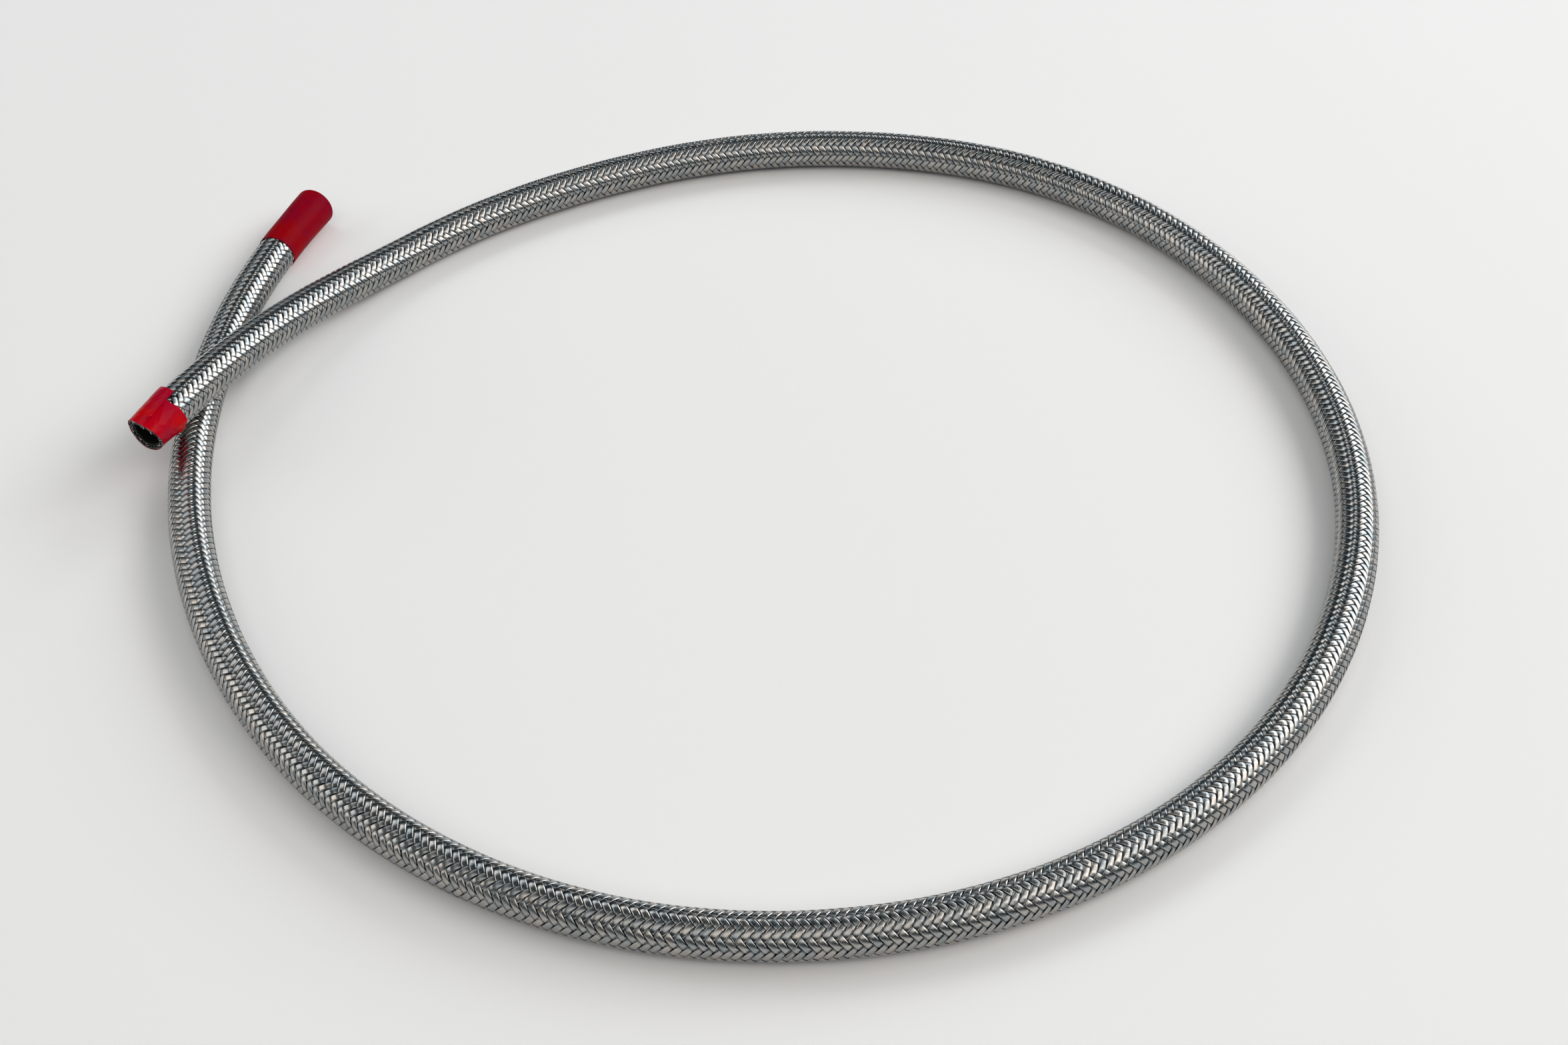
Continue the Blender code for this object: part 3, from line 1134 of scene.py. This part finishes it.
def wire_piece(name, paths, roundness, material):
    """Thin wires along the given lists of points, as one mesh."""
    curve = bpy.data.curves.new(name, "CURVE")
    curve.dimensions = "3D"
    curve.bevel_depth = WIRE / 2.0
    curve.bevel_resolution = roundness
    curve.use_fill_caps = True
    for path in paths:
        spline = curve.splines.new("POLY")
        spline.points.add(len(path) - 1)
        for point, place in zip(spline.points, path):
            point.co = (*place, 1.0)
    guide = bpy.data.objects.new(name + "_line", curve)
    bpy.context.scene.collection.objects.link(guide)
    bpy.context.view_layer.update()
    shape = guide.evaluated_get(bpy.context.evaluated_depsgraph_get())
    mesh = bpy.data.meshes.new_from_object(shape)
    bpy.data.objects.remove(guide)
    mesh.name = name
    mesh.materials.clear()
    mesh.materials.append(material)
    piece = bpy.data.objects.new(name, mesh)
    bpy.context.scene.collection.objects.link(piece)
    select_only(piece)
    bpy.ops.object.mode_set(mode="EDIT")
    bpy.ops.mesh.select_all(action="SELECT")
    bpy.ops.mesh.remove_doubles(threshold=CAP_MERGE)
    bpy.ops.object.mode_set(mode="OBJECT")
    bpy.ops.object.shade_smooth_by_angle(angle=WIRE_SHARP_ANGLE)
    return piece


print(f"A single wire is {WIRE / MILLIMETRE:.1f} mm thick")

# %% [markdown]
# Shears leave the cut wires uneven. At the open near end each of the nine wires of the 24 bundles
# ends in a short tip, and some are bent in over the rubber. The tips are placed by seeded random
# numbers, since no two are alike and none matters by itself. The far end's tips are out of sight.

# %% Cut wires at the near end
TIP_POINTS = 5
TIP_ROOT = 0.0034
TIP_SPREAD = 0.9
BENT_SHARE = 0.16
HAND_OFFSET = 0.0001
rng = np.random.default_rng(7)


def draw_tip():
    """How far back one tip ends, how far in it leans, and how far it swings round the hose."""
    reach = rng.uniform(0.0002, 0.0012)
    inwards = rng.uniform(0.0, 0.0003)
    swing = rng.normal(0.0, 0.05)
    if rng.random() < BENT_SHARE:
        reach = rng.uniform(-0.0004, 0.0006)
        inwards = rng.uniform(0.0006, 0.0019)
        swing = rng.normal(0.0, 0.10)
    return reach, inwards, swing


def cut_tip(hand, number, wire):
    """The path of one cut wire, from its root in the weave to its tip."""
    share = np.linspace(0.0, 1.0, TIP_POINTS)
    side = TIP_SPREAD * ((wire + 0.5) / WIRES_IN_BUNDLE - 0.5)
    reach, inwards, swing = draw_tip()
    along = TIP_ROOT + (reach - TIP_ROOT) * share
    turn = COLUMN_TURN + PITCH * (number + side)
    turn = turn + hand * PITCH * BUNDLES_EACH_WAY * along / BRAID_LEAD
    turn = turn + swing * share ** 2
    radius = WEAVE_MIDDLE - HAND_OFFSET * hand - inwards * share ** 3
    return on_hose(along, turn, radius)


tips = [
    cut_tip(hand, number, wire)
    for hand in (1, -1)
    for number in range(BUNDLES_EACH_WAY)
    for wire in range(WIRES_IN_BUNDLE)
]
near_wires = wire_piece("near_cut_wires", tips, roundness=1, material=cut_wire)
print("The near mouth has", len(tips), "cut wires")

# %% [markdown]
# A few wires have sprung out of the weave along the hose. Each is a short arc that follows its
# bundle's winding, leaves the weave and dips back into it. They are few enough to list one by one.

# %% Sprung wires
ARC_POINTS = 9
ARC_DEPTH = 0.00015
# Each wire's distance along, turn in degrees, length, rise, and the way it winds.
SPRUNG_WIRES = [
    (1.2585, 70.0, 0.0090, 0.0011, 1),
    (1.1030, 50.0, 0.0060, 0.0004, -1),
    (1.1020, 46.0, 0.0055, 0.0003, -1),
    (1.2800, 48.0, 0.0050, 0.0004, -1),
    (1.2900, 24.0, 0.0050, 0.0003, 1),
    (0.3400, -70.0, 0.0060, 0.0005, 1),
    (0.7150, -20.0, 0.0050, 0.0004, -1),
    (1.5200, 40.0, 0.0060, 0.0004, 1),
]


def sprung_path(along, turn, length, rise, hand):
    """A short arc of wire that leaves the weave and dips back into it."""
    share = np.linspace(-0.5, 0.5, ARC_POINTS)
    lead_angle = math.atan(math.pi * HOSE_OUTER / BRAID_LEAD)
    places = along + length * share * math.cos(lead_angle)
    turns = math.radians(turn) + hand * length * share * math.sin(lead_angle) / (HOSE_OUTER / 2.0)
    radii = HOSE_OUTER / 2.0 - ARC_DEPTH + rise * (1.0 - 4.0 * share ** 2)
    return on_hose(places, turns, radii)


sprung_paths = [sprung_path(*sprung) for sprung in SPRUNG_WIRES]
sprung_wires = wire_piece("sprung_wires", sprung_paths, roundness=2, material=sprung_wire)
print(len(sprung_paths), "wires have sprung out of the weave")

# %% [markdown]
# Every piece rides on the hose's one body, and the plain solid that it stands for is hidden. So
# these pieces take the solids' place, and each of their materials has its own name.

all_wire = [*braid, near_wires, sprung_wires]
for piece in all_wire:
    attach(piece, "root")
    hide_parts("steel_braid")
for piece, node in ((near_tape, "near_end_tape"), (far_tape, "far_end_tape")):
    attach(piece, "root")
    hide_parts(node)
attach(rubber_tube, "root")
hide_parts("rubber_liner")
print(len(all_wire), "pieces stand for the braid, and one each for the tube and the tapes")
